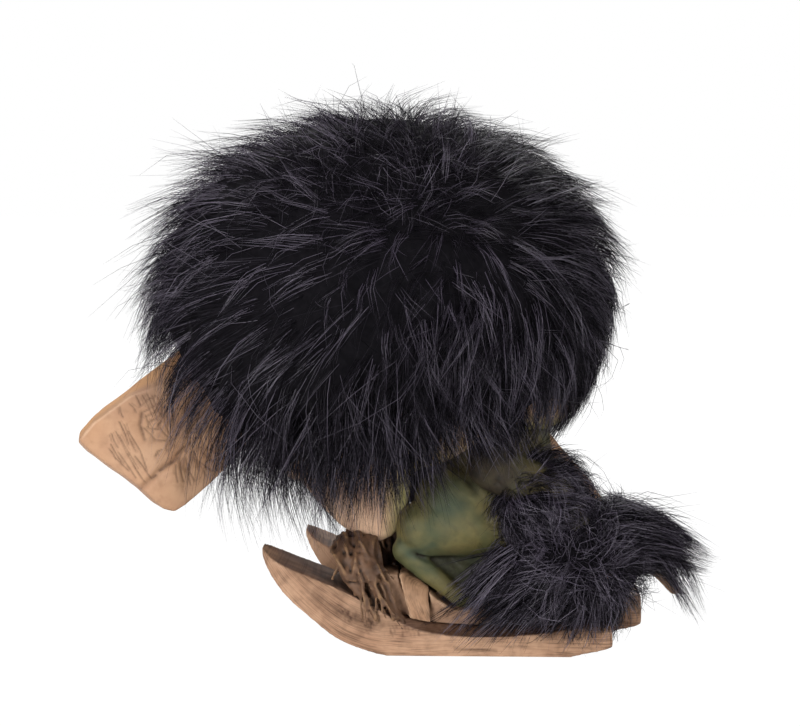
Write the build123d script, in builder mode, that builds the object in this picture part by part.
from build123d import *
import os
from math import asin, cos, radians, sin

# A troll figure in a ski jumper's tuck, built as castings that are pegged and glued together.
# Millimetres, +Z up. The troll faces -Y and its left side is +X. The skis stand on Z = 0.
# While a piece is made, Y is measured from the middle of the ankles. Each finished piece is then
# moved along Y, so that the origin lies under the middle of the whole figure.

os.makedirs("parts", exist_ok=True)

# Fits that several pieces share
glue_line = 0.3  # gap between two castings that are glued face to face
peg_slack = 0.1  # round a peg in its hole, and at the bottom of the hole
overrun = 6  # how far a cutter runs past what it cuts

# Skis
ski_width = 20
ski_gap = 8  # between the two skis
ski_waist = 7.5  # thickness under the foot
ski_tip_height = 26.5
ski_sole_front = 3  # the flat of the sole starts this far ahead of the ankles
ski_sole = 47  # length of the flat of the sole
ski_front_run = 31.5  # from the flat forward to the tip
ski_tail_run = 10  # from the flat back to the tail
ski_tail_rise = 2.4  # of the sole at the tail
ski_tail_thickness = 7.6
ski_set_back = 9  # the right ski and its foot stand this far behind the left
ski_tip_round = 8  # corner radius of the tip, seen from above
ski_tail_round = 2
# keel and deck of the upturned front, as shares of its run and of the tip height
ski_keel_shares = [(0.2, 0.06), (0.38, 0.16), (0.55, 0.31), (0.8, 0.58), (0.95, 0.82)]
ski_deck_shares = [(0.82, 0.86), (0.55, 0.735), (0.36, 0.64), (0.12, 0.48)]
ski_nose_share = 0.92  # height of the blunt front end's lower corner
# where the deck reaches its waist, as shares of the sole's length behind the front of the flat
ski_waist_shares = (0.32, 0.7)

# Feet
foot_width = 13
foot_round = 4
foot_top = 12.7  # above the deck, over the toes
heel_top = 4.5  # above the deck, behind the ankle
instep_front = 2.4  # where the instep starts to slope down, behind the ankles' middle
instep_back = 14.3
foot_front = 5  # the foot's block ends this far ahead, where the toes start
heel_back = 24
toe_radius = 1.8
toe_tip_radius = 1.6
toe_count = 4
toe_pitch = 3.3
toe_reach = 10.5  # toe tips ahead of the ankles' middle
toe_rise = 9.6  # toe tips above the deck
toe_root_rise = 7.8

# Toe straps
strap_thickness = 1.8
strap_top_front = -0.5
strap_top_back = 7
strap_foot_front = 4.7
strap_foot_back = 9

# Root bindings, three strands side by side over the toes
root_radius = 2
root_span = 9.1  # from the middle of the foot to the middle of a strand's leg
root_arch_lift = 1.4  # the legs are this much longer than the arch's half span
root_pitch = 3.7
root_front = 14  # front strand ahead of the ankles' middle
root_leg_count = 2
root_arch_count = 3

# Legs, in places (aside from the middle, behind the ankles' middle, above the deck)
hip_aside = 14
hip_back = 30
hip_height = 25.5
hip_radius = 10.5
knee_aside = 16
knee_back = 9.5
knee_height = 23.5
knee_radius = 8
shin_radius = 5
shin_lead = 6.5  # of the top of the shin ahead of the knee
shin_drop = 8  # of the top of the shin under the knee
ankle_aside = 15
ankle_back = 16
ankle_height = 8.5
ankle_radius = 4.7

# Body with its coat
pelvis_clear = 0.7  # between the toe straps and the part of the body between the thighs
pelvis_front = 7
pelvis_back = 42
pelvis_bottom = 5.5  # above the deck
pelvis_round = 6
coat_bottom = 29  # above the deck
body_height = 48.2  # from the deck to the neck joint
coat_half = 22  # half width at the hem
coat_flat = 20  # the sides are flat here, where the sleeves are glued on
coat_middle = 23  # of the hem, behind the ankles' middle
coat_depth = 18.5  # half depth of the hem
coat_lean = 2  # the shoulders lie this much further back than the hem
coat_depth_shares = (1, 0.855, 0.72)  # at the hem, the waist and the neck joint
coat_width_shares = (1, 1, 0.84)
neck_radius = 9
neck_height = 9
neck_back = 20
neck_round = 2.8

# Arms, swept back along the coat
shoulder_aside = 24
shoulder_back = 24
shoulder_height = 40.5
shoulder_radius = 6.3
elbow_aside = 26
elbow_back = 39
elbow_height = 33.5
elbow_radius = 5.4
wrist_aside = 25.5
wrist_back = 45
wrist_height = 24
wrist_radius = 4.2
palm_back = 48.5
palm_height = 19.5
palm_radius = 3.7
knuckle_radius = 3.5
finger_back = 52.5
finger_height = 14
finger_radius = 1.2
finger_tip_radius = 1.1
finger_pitch = 2.1
finger_count = 4

# Dowels and pegs
dowel_radius = 1.5
foot_peg_radius = 1.4
foot_peg_back = 3
foot_peg_depth = 4  # into the ski and into the foot
ankle_peg_radius = 1.1
ankle_peg_back = 11
ankle_peg_depth = 3
hip_dowel_back = 29
hip_dowel_height = 24
hip_dowel_half = 15
shoulder_dowel_back = 25.5
shoulder_dowel_height = 39
shoulder_dowel_half = 26

# Head
skull_half = 40  # half width
skull_depth = 46  # half depth
skull_rise = 40  # half height
skull_over_neck = 28  # centre of the skull above the neck joint
skull_wall = 4
floor_wall = 4  # wall over the neck joint
chin_gap = 1.5  # between the back of the jaw and the coat's front, at the hem
jaw_half = 17
jaw_round = 5
# jaw's side outline: shares of its length forward of its back, and of its depth under the neck joint
jaw_length = 33
jaw_depth = 26.9
jaw_shares = [(0, 0), (1, 0), (0.83, 0.5), (0.52, 0.88), (0.14, 1), (0, 0.7)]
nape_half = 24
nape_depth = 15.5
nape_rise = 7.5
nape_back = 29
nape_over_neck = 5.5
mouth_width = 27
mouth_height = 1.2
mouth_depth = 2.5
mouth_drop = 12.5  # under the neck joint
mouth_front_share = 0.88  # of the jaw's length, from its back

# Nose, a long block that points forwards and down
nose_reach = 83.5  # tip ahead of the ankles' middle
nose_tip_drop = 4.5  # tip under the neck joint
nose_end = 31  # length of its blunt end
nose_end_slope = 39  # degrees under level, going back from the tip
nose_bridge = 54
nose_bridge_slope = 41
nose_under = 42
nose_under_slope = 45
nose_half = 13
nose_root_half = 9
nose_taper_front = 58  # the nose narrows between these two, ahead of the ankles' middle
nose_taper_back = 38
nose_round = 2.5
nose_wall = 4.5

# Eyes
eye_radius = 4.2
eye_aside = 15
eye_over_neck = 20
eye_sink = 1.6  # centre of the eye inside the skull's surface
eye_back = 1.2  # the eye is cut flat this far behind its centre

# Hide cap and the fur on it
hide_thickness = 1.4
hide_edge = 13  # lower edge of the hide above the neck joint
face_edge = 1  # the hide's opening is this much wider than the fur's
fur_half = 53
fur_depth = 57.5
fur_rise = 48.5
fur_ahead = 5.5  # its centre ahead of the ankles' middle
fur_over_skull = 4.3  # its centre above the skull's
face_half = 22  # half width of the opening for the face
face_top = 33  # its top above the neck joint
throat_half = 24  # the fur stands clear of the jaw and the neck
throat_front = 38
face_back = 20  # the opening for the face starts this far ahead of the ankles' middle
shoulder_clear_half = 33.5
shoulder_clear_front = 3
nape_clear_back = 45

# Tail and its tuft
tail_root_radius = 2.4
tail_end_radius = 1.4
tail_start = (0, 37, 44)  # aside, behind the ankles' middle, above the deck
tail_bend = (0.8, 47, 33.1)
tail_turn = (3.5, 58.5, 19)
tail_end = (3, 71, 5.8)
tuft_half = 16
tuft_depth = 24
tuft_rise = 19
tuft_aside = 15
tuft_back = 45  # its centre
tuft_height = 14.5  # its centre above the deck
plume_start = (14, 57, 15.5)  # aside, behind the ankles' middle, above the deck
plume_radius = 12  # the plume tapers from here to the tuft's tip
tuft_tip_aside = 10
tuft_tip_back = 80  # end of the plume
tuft_tip_height = 15
tuft_tip_radius = 3.5
tuft_clear = 1  # round the leg, the sleeve and the hand that it lies against

# Places that follow from the sizes
deck = ski_waist
stance = (ski_gap + ski_width) / 2
neck_joint = deck + body_height
skull_height = neck_joint + skull_over_neck
root_spring = root_span + root_arch_lift  # above the deck, where the legs turn into the arch
pelvis_half = stance - foot_width / 2 - strap_thickness - pelvis_clear  # half width
centring = (nose_reach - tuft_tip_back) / 2
sides = {"left": 1, "right": -1}
set_backs = {"left": 0, "right": ski_set_back}


def egg(centre, radii):
    """Ellipsoid with its centre and its three half sizes."""
    with BuildPart() as ball:
        Sphere(1)
        scale(by=radii)
    return ball.part.moved(Location(centre))


def limb(start, end, start_radius, end_radius):
    """Round limb that tapers from one ball end to the other."""
    start_point = Vector(*start)
    along = Vector(*end) - start_point
    length = along.length
    tilt = asin((start_radius - end_radius) / length)
    level = Vector(0, 0, 1).cross(along)
    sideways = level if level.length > glue_line else Vector(1, 0, 0)
    side = Plane(origin=start_point, x_dir=along, z_dir=sideways)
    start_edge = (start_radius * sin(tilt), start_radius * cos(tilt))
    end_edge = (length + end_radius * sin(tilt), end_radius * cos(tilt))
    with BuildPart() as solid:
        with BuildSketch(side):
            with BuildLine():
                RadiusArc((-start_radius, 0), start_edge, start_radius)
                Line(start_edge, end_edge)
                RadiusArc(end_edge, (length + end_radius, 0), end_radius)
                Line((length + end_radius, 0), (-start_radius, 0))
            make_face()
        revolve(axis=Axis(start_point, along))
    return solid.part


def peg(middle, direction, radius, length):
    """Round peg, given by its middle."""
    with BuildPart() as solid:
        with BuildSketch(Plane(origin=middle, z_dir=direction)):
            Circle(radius)
        extrude(amount=length / 2, both=True)
    return solid.part


def slab(low, high):
    """Block between two corners."""
    centre = tuple((a + b) / 2 for a, b in zip(low, high))
    with BuildPart() as solid:
        with Locations(centre):
            Box(*(b - a for a, b in zip(low, high)))
    return solid.part


def side_prism(points, low_x, high_x):
    """Prism of a side outline, in (Y, Z) points, between two values of X."""
    with BuildPart() as solid:
        with BuildSketch(Plane.YZ.offset(low_x)):
            with BuildLine():
                Polyline(*points, close=True)
            make_face()
        extrude(amount=high_x - low_x)
    return solid.part


def ski_prism(set_back, lift, low_x, high_x):
    """The ski's side outline, raised by the lift, as a prism between two values of X."""
    front = set_back - ski_sole_front
    tail = front + ski_sole + ski_tail_run
    tip = (front - ski_front_run, ski_tip_height + lift)
    low_tip = (front - ski_front_run, ski_tip_height * ski_nose_share + lift)
    sole_front = (front, lift)
    sole_back = (front + ski_sole, lift)
    tail_low = (tail, ski_tail_rise + lift)
    tail_high = (tail, ski_tail_rise + ski_tail_thickness + lift)
    keel = [(front - ski_front_run * a, ski_tip_height * b + lift) for a, b in ski_keel_shares]
    prow = [(front - ski_front_run * a, ski_tip_height * b + lift) for a, b in ski_deck_shares]
    waist = [(front + ski_sole * a, ski_waist + lift) for a in ski_waist_shares]
    with BuildPart() as solid:
        with BuildSketch(Plane.YZ.offset(low_x)):
            with BuildLine():
                Line(sole_back, sole_front)
                Spline(sole_front, *keel, low_tip)
                Line(low_tip, tip)
                Spline(tip, *prow, *waist, tail_high)
                Line(tail_high, tail_low)
                Line(tail_low, sole_back)
            make_face()
        extrude(amount=high_x - low_x)
    return solid.part


def ski_solid(side, set_back):
    """One carved ski with an upturned front."""
    middle = side * stance
    front = set_back - ski_sole_front - ski_front_run
    length = ski_front_run + ski_sole + ski_tail_run
    blank = ski_prism(set_back, 0, middle - ski_width / 2, middle + ski_width / 2)
    with BuildPart() as board:
        add(blank)
        with BuildSketch(Plane.XY.offset(-overrun)):
            with Locations((middle, front + length / 2)):
                Rectangle(ski_width, length)
            fillet(vertices().sort_by(Axis.Y)[:2], ski_tip_round)
            fillet(vertices().sort_by(Axis.Y)[-2:], ski_tail_round)
        extrude(amount=ski_tip_height + 2 * overrun, mode=Mode.INTERSECT)
        add(foot_peg(side, set_back, peg_slack), mode=Mode.SUBTRACT)
    return board


def place(side, aside, back, above_deck):
    """Point given by its distances aside, behind the ankles' middle and above the deck."""
    return (side * aside, back, deck + above_deck)


def instep_prism(set_back, lift, low_x, high_x):
    """All that lies under the joint between a foot and its leg."""
    top = deck + foot_top + lift
    heel = deck + heel_top + lift
    front = set_back - ski_front_run - overrun
    back = set_back + ski_sole + ski_tail_run
    outline = [
        (front, -overrun),
        (front, top),
        (set_back + instep_front, top),
        (set_back + instep_back, heel),
        (back, heel),
        (back, -overrun),
    ]
    return side_prism(outline, low_x, high_x)


def instep_arch(middle, set_back, half, drop, corner):
    """Long bar under the slope of the instep, with rounded top edges."""
    run = instep_back - instep_front
    fall = foot_top - heel_top
    height = 2 * foot_top
    slope = Plane(
        origin=(middle, set_back + instep_front, deck + foot_top),
        x_dir=(1, 0, 0),
        z_dir=(0, run, -fall),
    )
    with BuildPart() as bar:
        with BuildSketch(slope):
            with Locations((0, drop + height / 2)):
                Rectangle(2 * half, height)
            fillet(vertices().sort_by(Axis.Y)[:2], corner)
        extrude(amount=heel_back, both=True)
    return bar.part


def strap_window(set_back, margin, low_x, high_x):
    """The stretch of the foot that the strap covers, seen from the side."""
    top = deck + foot_top + 2 * strap_thickness
    foot = deck - 2 * strap_thickness
    outline = [
        (set_back + strap_top_front - margin, top),
        (set_back + strap_top_back + margin, top),
        (set_back + strap_foot_back + margin, foot),
        (set_back + strap_foot_front - margin, foot),
    ]
    return side_prism(outline, low_x, high_x)


def foot_peg(side, set_back, slack):
    """Upright peg between a ski and a foot."""
    middle = place(side, stance, set_back + foot_peg_back, 0)
    length = 2 * (foot_peg_depth + slack)
    return peg(middle, (0, 0, 1), foot_peg_radius + slack, length)


def ankle_peg(side, set_back, slack):
    """Peg square to the slope between a foot and its leg."""
    run = instep_back - instep_front
    fall = foot_top - heel_top
    height = foot_top - fall * (ankle_peg_back - instep_front) / run
    middle = place(side, stance, set_back + ankle_peg_back, height)
    length = 2 * (ankle_peg_depth + slack)
    return peg(middle, (0, fall, run), ankle_peg_radius + slack, length)


def across_dowel(back, above_deck, half, slack):
    """Dowel that runs across the figure through the body."""
    return peg(place(0, 0, back, above_deck), (1, 0, 0), dowel_radius + slack, 2 * (half + slack))


def foot_solid(side, set_back):
    """Bare foot with blunt toes, shaped to the ski under it and to the leg on it."""
    middle = side * stance
    low_x = middle - ski_width / 2
    high_x = middle + ski_width / 2
    first_toe = middle - toe_pitch * (toe_count - 1) / 2
    toes = [
        limb(
            (first_toe + i * toe_pitch, set_back - foot_front / 2, deck + toe_root_rise),
            (first_toe + i * toe_pitch, set_back - toe_reach + toe_tip_radius, deck + toe_rise),
            toe_radius,
            toe_tip_radius,
        )
        for i in range(toe_count)
    ]
    under_leg = instep_prism(set_back, 0, low_x, high_x)
    on_ski = ski_prism(set_back, glue_line, low_x, high_x)
    under_strap = instep_arch(middle, set_back, foot_width / 2, strap_thickness + glue_line, foot_round)
    strap_space = strap_window(set_back, glue_line, low_x, high_x) - under_strap
    with BuildPart() as foot:
        with BuildSketch(Plane.XY.offset(deck)):
            with Locations((middle, set_back + (heel_back - foot_front) / 2)):
                Rectangle(foot_width, heel_back + foot_front)
            fillet(vertices(), foot_round)
        extrude(amount=2 * foot_top)
        add(toes)
        add(under_leg, mode=Mode.INTERSECT)
        add(on_ski, mode=Mode.SUBTRACT)
        add(strap_space, mode=Mode.SUBTRACT)
        add(foot_peg(side, set_back, peg_slack), mode=Mode.SUBTRACT)
        add(ankle_peg(side, set_back, peg_slack), mode=Mode.SUBTRACT)
    return foot


def strap_solid(side, set_back):
    """Toe strap over the instep, standing on the ski with both ends."""
    middle = side * stance
    low_x = middle - ski_width / 2
    high_x = middle + ski_width / 2
    inner_half = foot_width / 2 + glue_line
    outer = instep_arch(middle, set_back, inner_half + strap_thickness, 0, foot_round + strap_thickness)
    inner = instep_arch(middle, set_back, inner_half, strap_thickness, foot_round)
    with BuildPart() as strap:
        add(outer)
        add(inner, mode=Mode.SUBTRACT)
        add(strap_window(set_back, 0, low_x, high_x), mode=Mode.INTERSECT)
        add(instep_prism(set_back, 0, low_x, high_x), mode=Mode.INTERSECT)
        add(ski_prism(set_back, glue_line, low_x, high_x), mode=Mode.SUBTRACT)
    return strap


def binding_solid(side, set_back):
    """Binding of roots over the toes: strands side by side, the front ones with legs on the ski."""
    middle = side * stance
    spring = deck + root_spring
    on_ski = ski_prism(set_back, glue_line, middle - ski_width, middle + ski_width)
    rows = [set_back - root_front + i * root_pitch for i in range(root_arch_count)]
    with BuildPart() as bundle:
        for row in rows:
            with BuildSketch(Plane.XY.offset(spring)):
                with Locations((middle + root_span, row)):
                    Circle(root_radius)
            revolve(axis=Axis((middle, row, spring), (0, -1, 0)), revolution_arc=180)
        with BuildSketch(Plane.XY.offset(spring)):
            for row in rows[:root_leg_count]:
                with Locations((middle - root_span, row), (middle + root_span, row)):
                    Circle(root_radius)
        extrude(amount=-root_spring)
        add(on_ski, mode=Mode.SUBTRACT)
    return bundle


def thigh_limb(side, set_back, margin):
    """Thigh in its breeches, made thicker by the margin."""
    hip = place(side, hip_aside, hip_back, hip_height)
    knee = place(side, knee_aside, set_back + knee_back, knee_height)
    return limb(hip, knee, hip_radius + margin, knee_radius + margin)


def leg_solid(side, set_back):
    """Leg in breeches, folded up in a deep squat."""
    shin_top = place(side, knee_aside, set_back + knee_back - shin_lead, knee_height - shin_drop)
    ankle = place(side, ankle_aside, set_back + ankle_back, ankle_height)
    shin = limb(shin_top, ankle, shin_radius, ankle_radius)
    wide = stance + ski_width
    coat_hem = deck + coat_bottom - glue_line
    chin_back = coat_middle - coat_depth - chin_gap + glue_line
    chin_bottom = neck_joint - jaw_depth - glue_line
    far = hip_back + hip_radius + overrun
    under_coat = slab((-wide, -far, coat_hem), (wide, far, neck_joint))
    under_chin = slab((-wide, -far, chin_bottom), (wide, chin_back, neck_joint))
    beside_pelvis = slab((-pelvis_half - glue_line, -far, 0), (pelvis_half + glue_line, far, neck_joint))
    with BuildPart() as leg:
        add([thigh_limb(side, set_back, 0), shin])
        add(instep_prism(set_back, glue_line, -wide, wide), mode=Mode.SUBTRACT)
        add([under_coat, under_chin, beside_pelvis], mode=Mode.SUBTRACT)
        add(ankle_peg(side, set_back, peg_slack), mode=Mode.SUBTRACT)
        add(across_dowel(hip_dowel_back, hip_dowel_height, hip_dowel_half, peg_slack), mode=Mode.SUBTRACT)
    return leg


def sleeve_limbs(side, margin):
    """Upper arm and forearm in their sleeve, made thicker by the margin."""
    shoulder = place(side, shoulder_aside, shoulder_back, shoulder_height)
    elbow = place(side, elbow_aside, elbow_back, elbow_height)
    wrist = place(side, wrist_aside, wrist_back, wrist_height)
    return [
        limb(shoulder, elbow, shoulder_radius + margin, elbow_radius + margin),
        limb(elbow, wrist, elbow_radius + margin, wrist_radius + margin),
    ]


def hand_limbs(side, margin):
    """Palm and fingers, made thicker by the margin."""
    wrist = place(side, wrist_aside, wrist_back, wrist_height)
    palm = place(side, wrist_aside, palm_back, palm_height)
    first = wrist_aside - finger_pitch * (finger_count - 1) / 2
    fingers = [
        limb(
            place(side, first + i * finger_pitch, palm_back, palm_height),
            place(side, first + i * finger_pitch, finger_back, finger_height),
            finger_radius + margin,
            finger_tip_radius + margin,
        )
        for i in range(finger_count)
    ]
    return [limb(wrist, palm, palm_radius + margin, knuckle_radius + margin), *fingers]


def cuff_slab(gap, side_of_hand):
    """Half space on one side of the cuff's end, square to the forearm."""
    along = Vector(0, wrist_back - elbow_back, wrist_height - elbow_height).normalized()
    centre = Vector(0, wrist_back, deck + wrist_height) + along * gap
    wide = 2 * (elbow_aside + elbow_radius)
    with BuildPart() as half:
        with BuildSketch(Plane(origin=centre, x_dir=(1, 0, 0), z_dir=along)):
            Rectangle(wide, wide)
        extrude(amount=side_of_hand * wide)
    return half.part


def arm_solid(side):
    """Sleeve with the arm in it, cut flat against the coat and at the cuff."""
    inner = coat_flat + glue_line
    far = neck_joint + overrun
    beside_coat = slab((-inner, -far, 0), (inner, far, far))
    with BuildPart() as arm:
        add(sleeve_limbs(side, 0))
        add([beside_coat, cuff_slab(0, 1)], mode=Mode.SUBTRACT)
        add(across_dowel(shoulder_dowel_back, shoulder_dowel_height, shoulder_dowel_half, peg_slack),
            mode=Mode.SUBTRACT)
    return arm


def hand_solid(side):
    """Hand glued to the end of the cuff."""
    with BuildPart() as hand:
        add(hand_limbs(side, 0))
        add(cuff_slab(glue_line, -1), mode=Mode.SUBTRACT)
    return hand


def tail_limbs(margin):
    """The tail as three tapering stretches, made thicker by the margin."""
    points = [(x, y, deck + z) for x, y, z in (tail_start, tail_bend, tail_turn, tail_end)]
    step = (tail_root_radius - tail_end_radius) / (len(points) - 1)
    radii = [tail_root_radius - i * step + margin for i in range(len(points))]
    return [
        limb(points[i], points[i + 1], radii[i], radii[i + 1])
        for i in range(len(points) - 1)
    ]


def finish(piece, label):
    """Move a finished piece to the figure's own frame and write it."""
    placed = piece.part.moved(Location((0, centring, 0)))
    placed.label = label
    export_step(placed, f"parts/{label}.step")
    print(label, round(placed.volume), len(placed.solids()), placed.is_valid)


for name, side in sides.items():
    set_back = set_backs[name]
    finish(ski_solid(side, set_back), f"{name}_ski")
    finish(foot_solid(side, set_back), f"{name}_foot")
    finish(strap_solid(side, set_back), f"{name}_toe_strap")
    finish(binding_solid(side, set_back), f"{name}_root_binding")
    finish(leg_solid(side, set_back), f"{name}_leg")
    finish(arm_solid(side), f"{name}_arm")
    finish(hand_solid(side), f"{name}_hand")

# Body: coat, seat and neck in one casting
hem_height = deck + coat_bottom
seat_height = hem_height + pelvis_round - deck - pelvis_bottom
waist_height = (hem_height + neck_joint) / 2
coat_heights = (hem_height, waist_height, neck_joint)
with BuildPart() as body:
    for i, height in enumerate(coat_heights):
        middle = coat_middle + coat_lean * i / (len(coat_heights) - 1)
        with BuildSketch(Plane.XY.offset(height)):
            with Locations((0, middle)):
                Ellipse(coat_half * coat_width_shares[i], coat_depth * coat_depth_shares[i])
    loft()
    split(bisect_by=Plane.YZ.offset(coat_flat), keep=Keep.BOTTOM)
    split(bisect_by=Plane.YZ.offset(-coat_flat), keep=Keep.TOP)
    with BuildSketch(Plane.YZ.offset(-pelvis_half)):
        with Locations(((pelvis_front + pelvis_back) / 2, deck + pelvis_bottom + seat_height / 2)):
            RectangleRounded(pelvis_back - pelvis_front, seat_height, pelvis_round)
    extrude(amount=2 * pelvis_half)
    with BuildSketch(Plane.XY.offset(neck_joint)):
        with Locations((0, neck_back)):
            Circle(neck_radius)
    extrude(amount=neck_height)
    fillet(edges().sort_by(Axis.Z)[-1], neck_round)
    add(across_dowel(hip_dowel_back, hip_dowel_height, hip_dowel_half, peg_slack), mode=Mode.SUBTRACT)
    add(across_dowel(shoulder_dowel_back, shoulder_dowel_height, shoulder_dowel_half, peg_slack),
        mode=Mode.SUBTRACT)
    add(tail_limbs(peg_slack), mode=Mode.SUBTRACT)
finish(body, "body")

# Dowels and pegs
with BuildPart() as hip_dowel:
    add(across_dowel(hip_dowel_back, hip_dowel_height, hip_dowel_half, 0))
finish(hip_dowel, "hip_dowel")

with BuildPart() as shoulder_dowel:
    add(across_dowel(shoulder_dowel_back, shoulder_dowel_height, shoulder_dowel_half, 0))
finish(shoulder_dowel, "shoulder_dowel")

with BuildPart() as foot_pegs:
    add([foot_peg(sides[name], set_backs[name], 0) for name in sides])
finish(foot_pegs, "foot_pegs")

with BuildPart() as ankle_pegs:
    add([ankle_peg(sides[name], set_backs[name], 0) for name in sides])
finish(ankle_pegs, "ankle_pegs")

# Head: skull, nose, jaw and nape in one hollow casting
skull_radii = (skull_half, skull_depth, skull_rise)
skull_centre = (0, 0, skull_height)
jaw_back = coat_middle - coat_depth - chin_gap
nose_end_line = Vector(1, 0).rotate(Axis.Z, -nose_end_slope)
nose_bridge_line = Vector(1, 0).rotate(Axis.Z, nose_bridge_slope)
nose_under_line = Vector(1, 0).rotate(Axis.Z, nose_under_slope)


def nose_block(inset):
    """The nose with its root in the skull, or with an inset the hollow in it."""
    tip_turn = sin(radians(nose_end_slope + nose_bridge_slope))
    chin_turn = sin(radians(nose_end_slope + nose_under_slope))
    outer_tip = Vector(-nose_reach, neck_joint - nose_tip_drop)
    outer_chin = outer_tip + nose_end_line * nose_end
    tip = outer_tip + (nose_end_line + nose_bridge_line) * (inset / tip_turn)
    chin = outer_chin + (nose_under_line - nose_end_line) * (inset / chin_turn)
    lip = chin + nose_under_line * nose_under
    brow = tip + nose_bridge_line * nose_bridge
    middle = (chin.X + lip.X) / 2  # of the under side
    half = nose_half - inset
    root_half = nose_root_half - inset
    with BuildPart() as block:
        add(side_prism([(p.X, p.Y) for p in (tip, chin, lip)] + [(0, lip.Y), (0, brow.Y), (brow.X, brow.Y)],
                       -half, half))
        if inset == 0:
            fillet(edges().filter_by(lambda edge: edge.center().Y < middle + glue_line), nose_round)
        with BuildSketch(Plane.XY):
            with BuildLine():
                Polyline(
                    (-half, -nose_reach),
                    (half, -nose_reach),
                    (half, -nose_taper_front),
                    (root_half, -nose_taper_back),
                    (root_half, 0),
                    (-root_half, 0),
                    (-root_half, -nose_taper_back),
                    (-half, -nose_taper_front),
                    close=True,
                )
            make_face()
        extrude(amount=skull_height + skull_rise, mode=Mode.INTERSECT)
    return block.part


with BuildPart() as jaw:
    add(side_prism(
        [(jaw_back - jaw_length * a, neck_joint - jaw_depth * b) for a, b in jaw_shares],
        -jaw_half,
        jaw_half,
    ))
    low_edges = edges().filter_by(lambda edge: edge.center().Z < neck_joint - jaw_round)
    fillet(low_edges, jaw_round)

inner_radii = tuple(radius - skull_wall for radius in skull_radii)
far = nose_reach + overrun
skull_hollow = egg(skull_centre, inner_radii) & slab(
    (-far, -far, neck_joint + floor_wall), (far, far, skull_height + skull_rise)
)
hollow = skull_hollow + nose_block(nose_wall)
nape = egg((0, nape_back, neck_joint + nape_over_neck), (nape_half, nape_depth, nape_rise))
eye_rise = eye_over_neck - skull_over_neck
eye_front = skull_depth * (1 - (eye_aside / skull_half) ** 2 - (eye_rise / skull_rise) ** 2) ** 0.5
eye_places = [
    (side * eye_aside, eye_sink - eye_front, neck_joint + eye_over_neck) for side in sides.values()
]

with BuildPart() as head:
    add(egg(skull_centre, skull_radii))
    add([nose_block(0), jaw.part, nape])
    add(hollow, mode=Mode.SUBTRACT)
    add(slab((-far, jaw_back, 0), (far, far, neck_joint + glue_line)), mode=Mode.SUBTRACT)
    with BuildSketch(Plane.XY.offset(neck_joint)):
        with Locations((0, neck_back)):
            Circle(neck_radius + glue_line)
    extrude(amount=neck_height, mode=Mode.SUBTRACT)
    with Locations((0, jaw_back - jaw_length * mouth_front_share, neck_joint - mouth_drop)):
        Box(mouth_width, 2 * mouth_depth, mouth_height, mode=Mode.SUBTRACT)
    for x, y, z in eye_places:
        socket_middle = (x, y + eye_back + peg_slack - eye_radius, z)
        socket = peg(socket_middle, (0, 1, 0), eye_radius + peg_slack, 2 * eye_radius)
        add(socket, mode=Mode.SUBTRACT)
finish(head, "head")

for (name, side), centre in zip(sides.items(), eye_places):
    with BuildPart() as eye:
        with Locations(centre):
            Sphere(eye_radius)
        split(bisect_by=Plane.XZ.offset(-centre[1] - eye_back), keep=Keep.TOP)
    finish(eye, f"{name}_eye")

# Hide cap glued on the skull, and the fur that grows on it
hide_inner = tuple(radius + glue_line for radius in skull_radii)
hide_outer = tuple(radius + hide_thickness for radius in hide_inner)
fur_inner = tuple(radius + glue_line for radius in hide_outer)
hide_level = neck_joint + hide_edge
fur_centre = (0, -fur_ahead, skull_height + fur_over_skull)


def face_prism(half):
    """Opening for the face, with a round top."""
    low = neck_joint - jaw_depth
    spring = neck_joint + face_top - face_half
    with BuildPart() as opening:
        with BuildSketch(Plane.XZ.offset(face_back)):
            with Locations((0, (low + spring) / 2)):
                Rectangle(2 * half, spring - low)
            with Locations((0, spring)):
                Circle(half)
        extrude(amount=fur_depth)
    return opening.part


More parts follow.
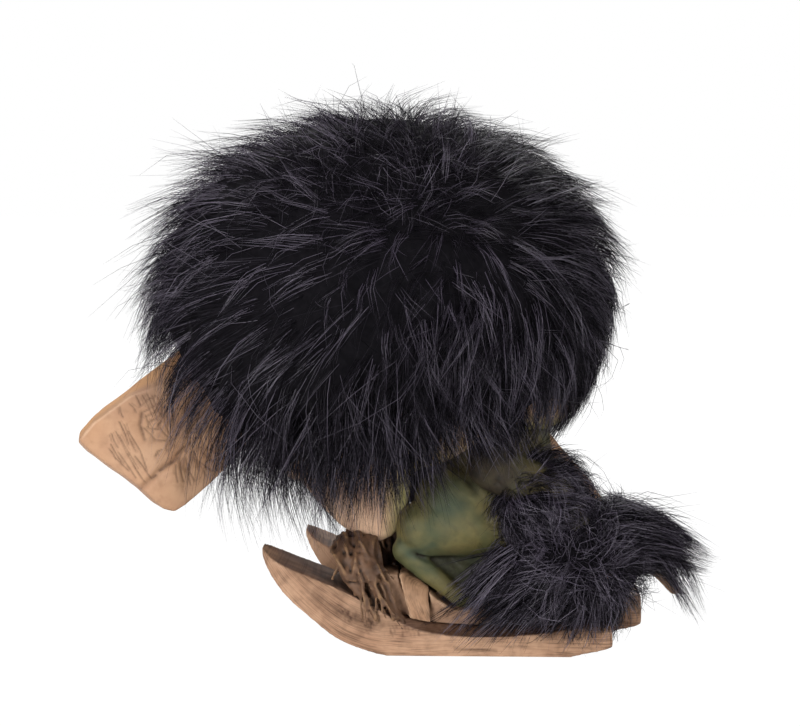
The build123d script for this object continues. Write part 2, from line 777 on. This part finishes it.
with BuildPart() as hide_cap:
    add(egg(skull_centre, hide_outer))
    add(egg(skull_centre, hide_inner), mode=Mode.SUBTRACT)
    split(bisect_by=Plane.XY.offset(hide_level), keep=Keep.TOP)
    add(face_prism(face_half + face_edge), mode=Mode.SUBTRACT)
finish(hide_cap, "hide_cap")

with BuildPart() as head_fur:
    add(egg(fur_centre, (fur_half, fur_depth, fur_rise)))
    add(egg(skull_centre, fur_inner), mode=Mode.SUBTRACT)
    add(face_prism(face_half), mode=Mode.SUBTRACT)
    add(slab((-throat_half, -throat_front, 0), (throat_half, nape_clear_back, hide_level)), mode=Mode.SUBTRACT)
    add(slab((-shoulder_clear_half, shoulder_clear_front, 0), (shoulder_clear_half, nape_clear_back, hide_level)),
        mode=Mode.SUBTRACT)
finish(head_fur, "head_fur")

# Tail and the tuft of fur on it
with BuildPart() as tail:
    add(tail_limbs(0))
finish(tail, "tail")

tail_top = ski_tail_rise + ski_tail_thickness
near = sides["left"]
wide = tuft_aside + tuft_half
tuft_tip = place(near, tuft_tip_aside, tuft_tip_back - tuft_tip_radius, tuft_tip_height)
beside_seat = slab((-wide, 0, 0), (pelvis_half + tuft_clear, pelvis_back + tuft_clear, neck_joint))
under_coat = slab((-wide, 0, hem_height - tuft_clear), (wide, coat_middle + coat_depth + tuft_clear, neck_joint))
with BuildPart() as tail_tuft:
    add(egg((tuft_aside, tuft_back, deck + tuft_height), (tuft_half, tuft_depth, tuft_rise)))
    add(limb(place(near, *plume_start), tuft_tip, plume_radius, tuft_tip_radius))
    split(bisect_by=Plane.XY.offset(tail_top + glue_line), keep=Keep.TOP)
    add([beside_seat, under_coat], mode=Mode.SUBTRACT)
    add(thigh_limb(near, set_backs["left"], tuft_clear), mode=Mode.SUBTRACT)
    add(sleeve_limbs(near, tuft_clear), mode=Mode.SUBTRACT)
    add(hand_limbs(near, tuft_clear), mode=Mode.SUBTRACT)
    add(tail_limbs(glue_line), mode=Mode.SUBTRACT)
finish(tail_tuft, "tail_tuft")
